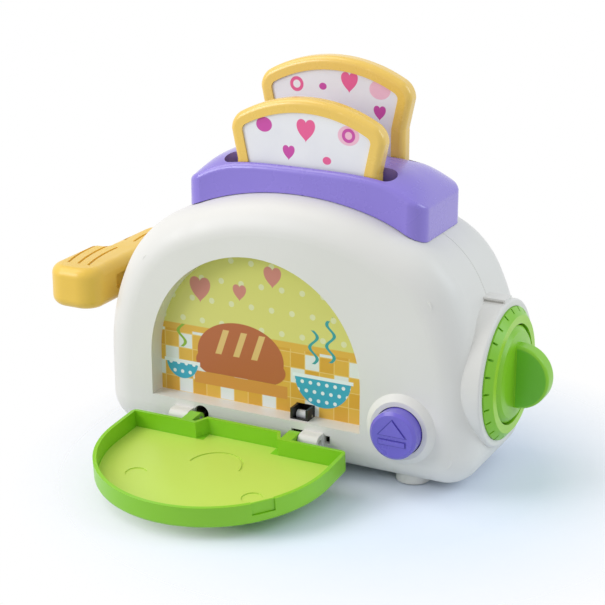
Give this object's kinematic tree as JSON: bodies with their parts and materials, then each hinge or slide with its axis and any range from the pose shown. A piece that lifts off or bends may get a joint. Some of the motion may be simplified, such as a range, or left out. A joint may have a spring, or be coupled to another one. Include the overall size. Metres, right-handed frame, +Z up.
{
  "type": "toy toaster",
  "caption": "Rounded pretend-play pop-up toaster with bread slices on a sprung carriage, a push-down paddle, an eject button, a drop-down front door and a click dial.",
  "frame": {"origin": "the middle of the front right foot's pad, on the surface that the toy stands on; the body's middle is 62 mm to its left and 21 mm behind it", "axes": "+X to the right (the dial's side), +Y to the back, +Z up; the front door opens towards -Y"},
  "size_m": [0.2575, 0.1819, 0.1937],
  "materials": {
    "ivory_plastic": "satin",
    "pad_rubber": "matte",
    "zinc_steel": "satin",
    "spring_steel": "bright",
    "printed_card": "satin",
    "black_plastic": "matte",
    "silver_plastic": "glossy",
    "green_plastic": "glossy",
    "grey_plastic": "matte",
    "brown_plastic": "matte",
    "purple_plastic": "glossy",
    "amber_plastic": "glossy",
    "crust_plastic": "glossy",
    "printed_panel": "satin"
  },
  "bodies": {
    "housing": {"front_shell": "ivory_plastic", "back_shell": "ivory_plastic", "foot_pads": "pad_rubber", "shell_screws": "zinc_steel", "picture_card": "printed_card", "card_retainer": "ivory_plastic", "retainer_screws": "zinc_steel", "roller_housing": "black_plastic", "roller_axle": "spring_steel", "left_hinge_pin": "spring_steel", "right_hinge_pin": "spring_steel", "latch_pin": "spring_steel", "chassis": "grey_plastic", "guide_rods": "spring_steel", "click_spring": "spring_steel", "dial_ring": "green_plastic", "top_cover": "purple_plastic", "slot_liner": "grey_plastic", "cover_screws": "zinc_steel", "left_lift_spring": "spring_steel", "right_lift_spring": "spring_steel", "button_spring": "spring_steel"},
    "roller": {"detent_roller": "silver_plastic"},
    "door": {"door_panel": "green_plastic"},
    "button": {"button_cap": "purple_plastic"},
    "latch": {"latch_lever": "grey_plastic"},
    "carriage": {"carriage": "grey_plastic", "lever_arm": "brown_plastic", "arm_screws": "zinc_steel", "lever_upper": "amber_plastic", "lever_lower": "amber_plastic", "paddle_screws": "zinc_steel"},
    "front_slice": {"front_slice_crust_front": "crust_plastic", "front_slice_crust_back": "crust_plastic", "front_slice_panel_front": "printed_panel", "front_slice_panel_back": "printed_panel"},
    "back_slice": {"back_slice_crust_front": "crust_plastic", "back_slice_crust_back": "crust_plastic", "back_slice_panel_front": "printed_panel", "back_slice_panel_back": "printed_panel"},
    "dial": {"dial_knob": "green_plastic", "dial_axle": "grey_plastic", "axle_screw": "zinc_steel", "ratchet_wheel": "grey_plastic"}
  },
  "joints": [
    {"name": "door_hinge", "type": "hinge", "parent": "housing", "child": "door", "pos_m": [-0.0789, -0.022, 0.0192], "axis": [-1, 0, 0], "range_deg": [0, 94.5]},
    {"name": "button_press", "type": "slide", "parent": "housing", "child": "button", "axis": [0, 1, 0], "range_m": [0, 0.003], "stiffness_N_per_m": 200, "springref_m": -0.004, "deforming": ["button_spring"]},
    {"name": "latch_pivot", "type": "hinge", "parent": "housing", "child": "latch", "pos_m": [0.0008, 0.009, 0.05], "axis": [1, 0, 0], "range_deg": [0, 9.8]},
    {"name": "carriage_lift", "type": "slide", "parent": "housing", "child": "carriage", "axis": [0, 0, -1], "range_m": [0, 0.034], "stiffness_N_per_m": 60, "springref_m": -0.04, "deforming": ["left_lift_spring", "right_lift_spring"]},
    {"name": "front_slice_out", "type": "slide", "parent": "carriage", "child": "front_slice", "axis": [0, 0, 1], "range_m": [0, 0.065]},
    {"name": "back_slice_out", "type": "slide", "parent": "carriage", "child": "back_slice", "axis": [0, 0, 1], "range_m": [0, 0.065]},
    {"name": "dial_turn", "type": "hinge", "parent": "housing", "child": "dial", "pos_m": [0.035, 0.021, 0.0535], "axis": [1, 0, 0], "continuous": true},
    {"name": "roller_spin", "type": "hinge", "parent": "housing", "child": "roller", "pos_m": [-0.0536, -0.0105, 0.027], "axis": [1, 0, 0], "continuous": true}
  ],
  "couplings": [
    {"joint": "latch_pivot", "follows": "button_press", "rad_per_m": 57}
  ]
}
